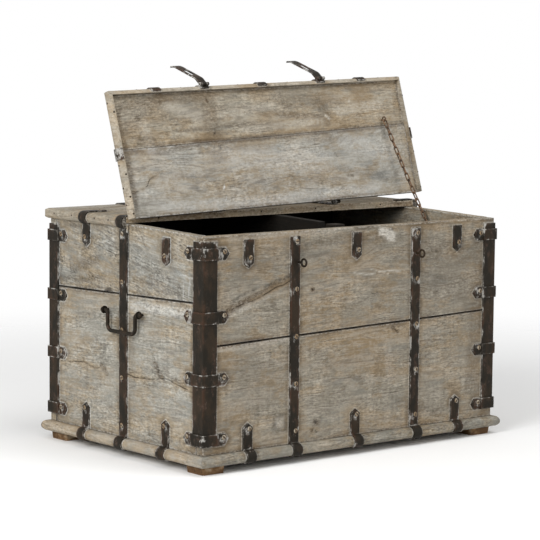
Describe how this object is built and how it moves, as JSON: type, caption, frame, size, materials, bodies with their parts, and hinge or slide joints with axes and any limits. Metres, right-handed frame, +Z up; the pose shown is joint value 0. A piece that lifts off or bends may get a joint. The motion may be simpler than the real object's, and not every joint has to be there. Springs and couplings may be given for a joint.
{
  "type": "trunk coffee table",
  "caption": "Low trunk table of limewashed planks bound with flat iron, with a half lid on a chain, hasps, drop handles and block feet",
  "frame": {"origin": "centre of the case's footprint on the floor", "axes": "+X to the right along the width seen from the front, -Y is the front with the hasps, +Z up"},
  "size_m": [0.8386, 0.5772, 0.8065],
  "materials": {
    "old_wood": "grey-beige limewash, worn and stained",
    "foot_wood": "bare brown wood, worn",
    "strap_iron": "black-brown forged flat iron with rust and lime residue",
    "screw_steel": "tarnished tan, dark slots",
    "chain_steel": "rusty brown wire"
  },
  "bodies": {
    "case": {"back_board_lower": "old_wood", "back_board_upper": "old_wood", "back_straps": "strap_iron", "base_moulding_back": "old_wood", "base_moulding_front": "old_wood", "base_moulding_left": "old_wood", "base_moulding_right": "old_wood", "bottom_boards": "old_wood", "case_screws": "screw_steel", "centre_partition": "old_wood", "centre_post": "old_wood", "chain_eye_wall": "chain_steel", "corner_angle_back_left": "strap_iron", "corner_angle_back_right": "strap_iron", "corner_angle_front_left": "strap_iron", "corner_angle_front_right": "strap_iron", "corner_brackets_back_left": "strap_iron", "corner_brackets_back_right": "strap_iron", "corner_brackets_front_left": "strap_iron", "corner_brackets_front_right": "strap_iron", "feet": "foot_wood", "front_board_lower": "old_wood", "front_board_upper": "old_wood", "front_strap_left": "strap_iron", "front_strap_right": "strap_iron", "front_tabs": "strap_iron", "handle_eyes_left": "strap_iron", "handle_eyes_right": "strap_iron", "hasp_staple_left": "strap_iron", "hasp_staple_right": "strap_iron", "hinge_leaves_rear": "strap_iron", "hinge_pins": "screw_steel", "hinge_rail": "old_wood", "left_board_lower": "old_wood", "left_board_upper": "old_wood", "rear_top_boards": "old_wood", "rear_top_edging_back": "old_wood", "rear_top_edging_left": "old_wood", "rear_top_edging_right": "old_wood", "right_board_lower": "old_wood", "right_board_upper": "old_wood", "side_strap_left": "strap_iron", "side_strap_right": "strap_iron", "side_tabs_left": "strap_iron", "side_tabs_right": "strap_iron"},
    "lid": {"chain_eye_lid": "chain_steel", "hasp_pins": "screw_steel", "lid_board_front": "old_wood", "lid_board_rear": "old_wood", "lid_chain": "chain_steel", "lid_clips": "strap_iron", "lid_edging_front": "old_wood", "lid_edging_left": "old_wood", "lid_edging_right": "old_wood", "lid_screws": "screw_steel", "lid_straps": "strap_iron"},
    "hasp_left": {"hasp_left": "strap_iron"},
    "hasp_right": {"hasp_right": "strap_iron"},
    "handle_left": {"handle_left": "strap_iron"},
    "handle_right": {"handle_right": "strap_iron"}
  },
  "joints": [
    {"name": "lid_hinge", "type": "hinge", "parent": "case", "child": "lid", "pos_m": [0, -0.0106, 0.50055], "axis": [0.9998, 0.0172, 0.0083], "range_deg": [0, 107.8], "deforming": ["lid_chain"]},
    {"name": "hasp_left_hinge", "type": "hinge", "parent": "lid", "child": "hasp_left", "pos_m": [-0.16786, 0.03526, 0.7616], "axis": [0.9995, 0.0146, 0.0272], "range_deg": [0, 146]},
    {"name": "hasp_right_hinge", "type": "hinge", "parent": "lid", "child": "hasp_right", "pos_m": [0.15898, 0.04003, 0.77051], "axis": [0.9995, 0.0146, 0.0272], "range_deg": [0, 146]},
    {"name": "handle_left_swing", "type": "hinge", "parent": "case", "child": "handle_left", "pos_m": [-0.411, -0.006, 0.3], "axis": [0, 1, 0], "range_deg": [0, 165]},
    {"name": "handle_right_swing", "type": "hinge", "parent": "case", "child": "handle_right", "pos_m": [0.411, -0.006, 0.3], "axis": [0, -1, 0], "range_deg": [0, 165]}
  ]
}
